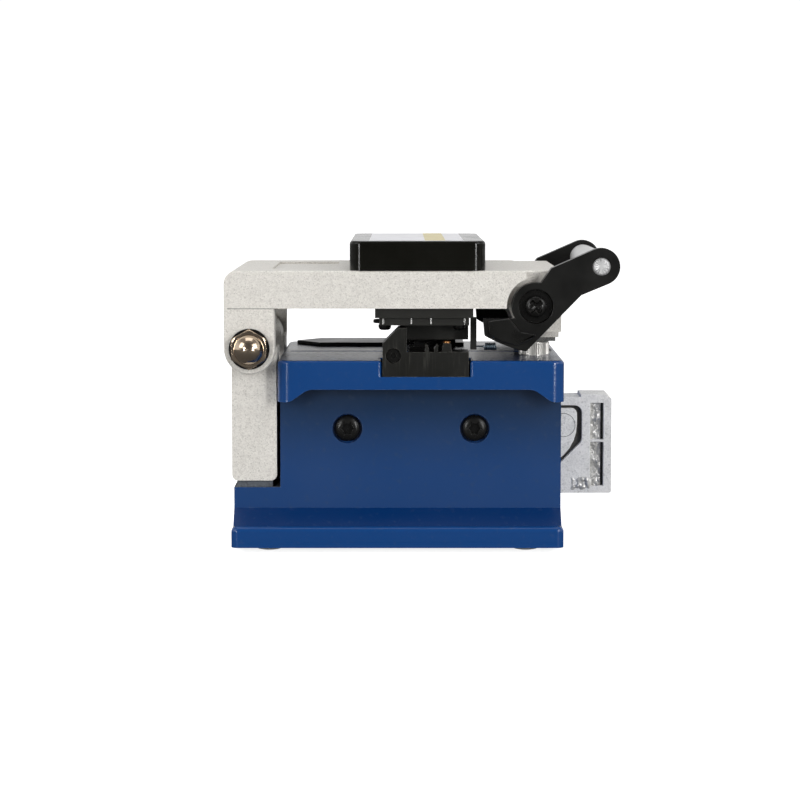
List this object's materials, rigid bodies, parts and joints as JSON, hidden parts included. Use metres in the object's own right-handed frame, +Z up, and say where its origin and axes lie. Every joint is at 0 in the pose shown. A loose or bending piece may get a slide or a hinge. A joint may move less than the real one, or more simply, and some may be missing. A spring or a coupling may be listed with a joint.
{
  "type": "fibre cleaver",
  "caption": "Bench fibre cleaver: waisted cast base, hinged clamping arm with capped anvil, bail lift handle at the front and a blade slider on a linear rail.",
  "frame": {"origin": "middle of the tool's overall length and width at rest, on the plane that the four feet stand on, 5 mm in front of the base flange's centre", "axes": "+X towards the user, where the handle and slider are; +Y along the fibre, away from the side with the guide block; +Z up"},
  "size_m": [0.078, 0.0698, 0.0615],
  "materials": {
    "blue_paint": "semi-gloss paint on a casting",
    "sparkle_silver": "speckled silver paint on die castings",
    "cast_silver": "matt die casting",
    "nickel": "polished nickel",
    "steel": "bright steel",
    "post_silver": "knurled silver posts",
    "blade_carbide": "ground carbide",
    "spring_steel": "spring wire",
    "bar_satin": "satin turned bar",
    "black_oxide": "black screws and washers",
    "black_plastic": "satin moulded black",
    "gloss_black": "glossy moulded black",
    "pad_rubber": "soft black rubber",
    "foot_rubber": "translucent grey rubber",
    "white_ceramic": "ground ceramic",
    "brass": "plain brass"
  },
  "bodies": {
    "base": {"base_casting": "blue_paint", "rubber_feet": "foot_rubber", "linear_rail": "steel", "rail_screws": "black_oxide", "hinge_bracket": "sparkle_silver", "bracket_screws": "black_oxide", "hinge_pin": "steel", "hinge_washers": "black_oxide", "hinge_nuts": "nickel", "hinge_spring": "spring_steel", "guide_block": "black_plastic", "guide_screw": "black_oxide", "guide_adjuster": "brass", "lower_clamp_blocks": "black_plastic", "lower_clamp_pads": "pad_rubber", "holder_seat": "black_plastic", "magnet_posts": "post_silver"},
    "arm": {"arm_casting": "sparkle_silver", "anvil_cap": "gloss_black", "anvil_housing": "black_plastic", "housing_screws": "black_oxide", "handle_spring": "spring_steel", "keeper_strip": "steel", "handle_screws": "black_oxide", "near_clamp_spring": "spring_steel", "far_clamp_spring": "spring_steel", "anvil_spring": "spring_steel"},
    "handle": {"handle_near_plate": "black_plastic", "handle_far_plate": "black_plastic", "handle_bar": "bar_satin", "handle_washers": "black_oxide"},
    "near_clamp": {"near_clamp_block": "black_plastic", "near_clamp_pad": "pad_rubber"},
    "far_clamp": {"far_clamp_block": "black_plastic", "far_clamp_pad": "pad_rubber"},
    "anvil": {"anvil_plunger": "black_plastic", "anvil_tip": "white_ceramic"},
    "slider": {"slider_casting": "cast_silver", "rail_carriage": "steel", "carriage_screws": "steel"},
    "blade": {"blade_wheel": "blade_carbide", "blade_hub": "steel"}
  },
  "joints": [
    {"name": "arm_hinge", "type": "hinge", "parent": "base", "child": "arm", "pos_m": [-0.034, 0, 0.0403], "axis": [0, -1, 0], "range_deg": [0, 100]},
    {"name": "handle_lift", "type": "hinge", "parent": "arm", "child": "handle", "pos_m": [0.0221, 0, 0.0486], "axis": [0, -1, 0], "range_deg": [0, 30], "stiffness_Nm_per_rad": 0.05, "springref_deg": -11.46},
    {"name": "near_clamp_press", "type": "slide", "parent": "arm", "child": "near_clamp", "axis": [0, 0, 1], "range_m": [0, 0.0006], "stiffness_N_per_m": 200, "springref_m": -0.0008, "deforming": ["near_clamp_spring"]},
    {"name": "far_clamp_press", "type": "slide", "parent": "arm", "child": "far_clamp", "axis": [0, 0, 1], "range_m": [0, 0.0006], "stiffness_N_per_m": 200, "springref_m": -0.0008, "deforming": ["far_clamp_spring"]},
    {"name": "anvil_press", "type": "slide", "parent": "arm", "child": "anvil", "axis": [0, 0, -1], "range_m": [0, 0.0008], "stiffness_N_per_m": 150, "springref_m": -0.0006, "deforming": ["anvil_spring"]},
    {"name": "slider_travel", "type": "slide", "parent": "base", "child": "slider", "axis": [-1, 0, 0], "range_m": [-0.014, 0.011]},
    {"name": "blade_index", "type": "hinge", "parent": "slider", "child": "blade", "pos_m": [0.0002, -0.002, 0.0313], "axis": [0, 1, 0], "continuous": true}
  ]
}
